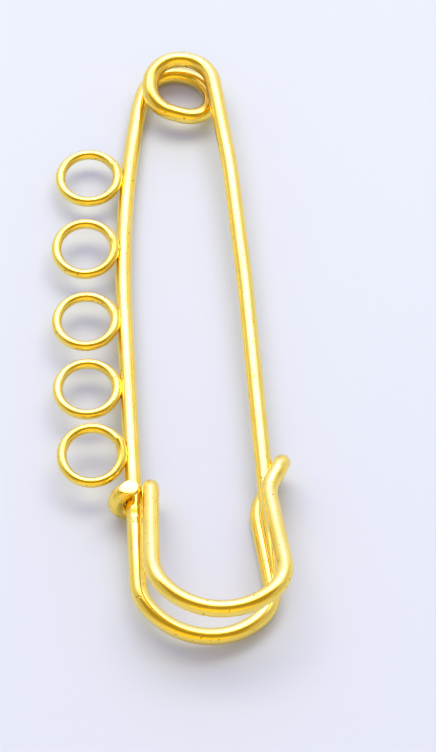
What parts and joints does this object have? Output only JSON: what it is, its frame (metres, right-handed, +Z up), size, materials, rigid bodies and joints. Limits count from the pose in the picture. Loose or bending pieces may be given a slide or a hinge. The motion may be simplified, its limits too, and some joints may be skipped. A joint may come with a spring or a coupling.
{
  "type": "charm pin",
  "caption": "Large gold-plated wire safety pin with a coil spring, a doubled wire catch and small wire loops soldered along its bar, from which charms hang.",
  "frame": {"origin": "middle of the pin's box, on the table that it lies on", "axes": "+X across the pin from the loops to the stem, +Y along it from the catch to the coil, +Z up from the table"},
  "size_m": [0.0286, 0.0812, 0.0092],
  "materials": {
    "gold_plate": "polished yellow gold plate"
  },
  "bodies": {
    "frame": {"loop_bar": "gold_plate", "coil": "gold_plate", "back_bow": "gold_plate", "hook": "gold_plate", "front_bow": "gold_plate", "end_wrap": "gold_plate"},
    "stem": {"stem": "gold_plate"}
  },
  "joints": [
    {"name": "stem_hinge", "type": "hinge", "parent": "frame", "child": "stem", "pos_m": [0.00121, 0.03582, 0.0041], "axis": [0, 0, -1], "range_deg": [0, 10], "stiffness_Nm_per_rad": 2.5, "springref_deg": -5.16}
  ]
}
